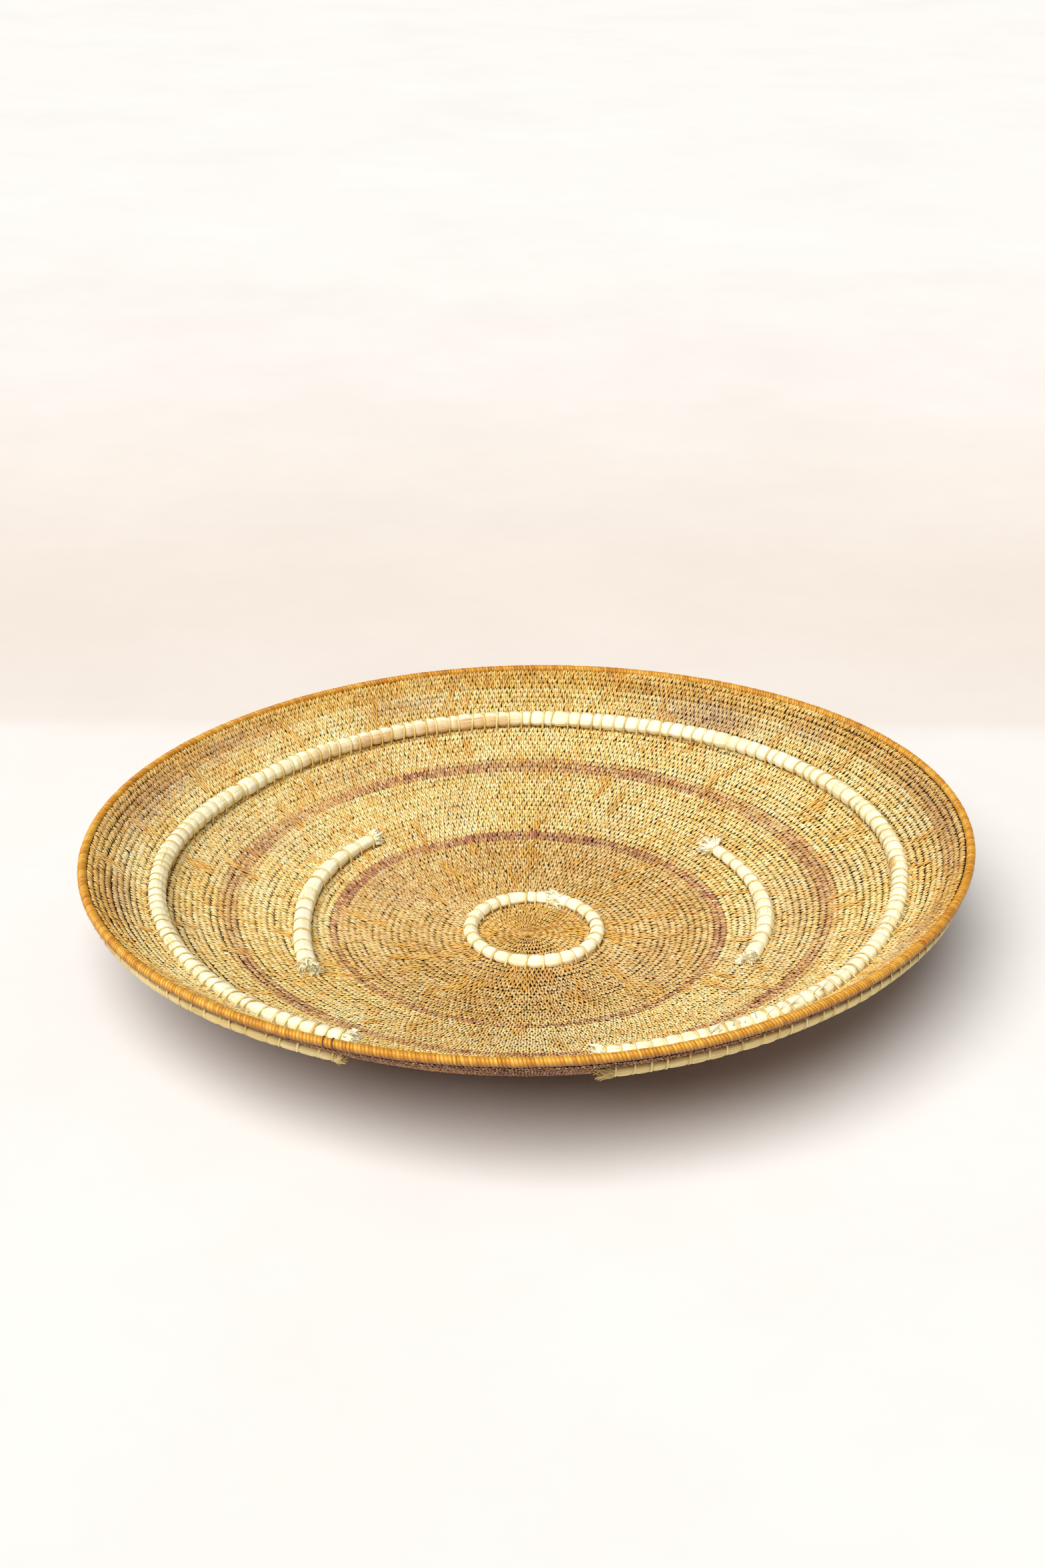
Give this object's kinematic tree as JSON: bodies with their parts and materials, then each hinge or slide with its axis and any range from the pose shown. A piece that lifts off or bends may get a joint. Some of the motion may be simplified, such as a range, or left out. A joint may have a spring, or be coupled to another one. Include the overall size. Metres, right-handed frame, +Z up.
{
  "type": "coiled winnowing basket",
  "caption": "Wide shallow coiled basket with dyed rings, a wrapped rim and straw ropes sewn to both faces of the bowl.",
  "frame": {"origin": "centre of the flat underside that the basket stands on", "axes": "+Z up out of the bowl, -Y towards the front, where the large straw rings leave a gap"},
  "size_m": [0.5752, 0.5572, 0.0905],
  "materials": {
    "golden_splint": "golden split root stitches, slightly waxy",
    "natural_splint": "pale tan split root stitches, dry",
    "dyed_splint": "faded purple-brown dyed stitches",
    "weathered_splint": "tan stitches with grey weathering",
    "rim_splint": "golden, worn smooth and glossy",
    "grass_core": "rough dry grass",
    "straw": "pale satin straw",
    "dark_straw": "dull straw",
    "cord": "flat pale yellow splint cord"
  },
  "bodies": {
    "root": {"start_coil": "golden_splint", "floor_coils": "natural_splint", "inner_dyed_coils": "dyed_splint", "lower_wall_coils": "natural_splint", "outer_dyed_coils": "dyed_splint", "upper_wall_coils": "natural_splint", "flare_coils": "weathered_splint", "rim_core": "grass_core", "rim_binding": "rim_splint", "centre_ring_rope": "straw", "centre_ring_lashing": "cord", "left_arc_rope": "straw", "left_arc_lashing": "cord", "right_arc_rope": "straw", "right_arc_lashing": "cord", "inner_ring_rope": "straw", "inner_ring_lashing": "cord", "outer_ring_rope": "dark_straw", "outer_ring_lashing": "cord"}
  },
  "joints": []
}
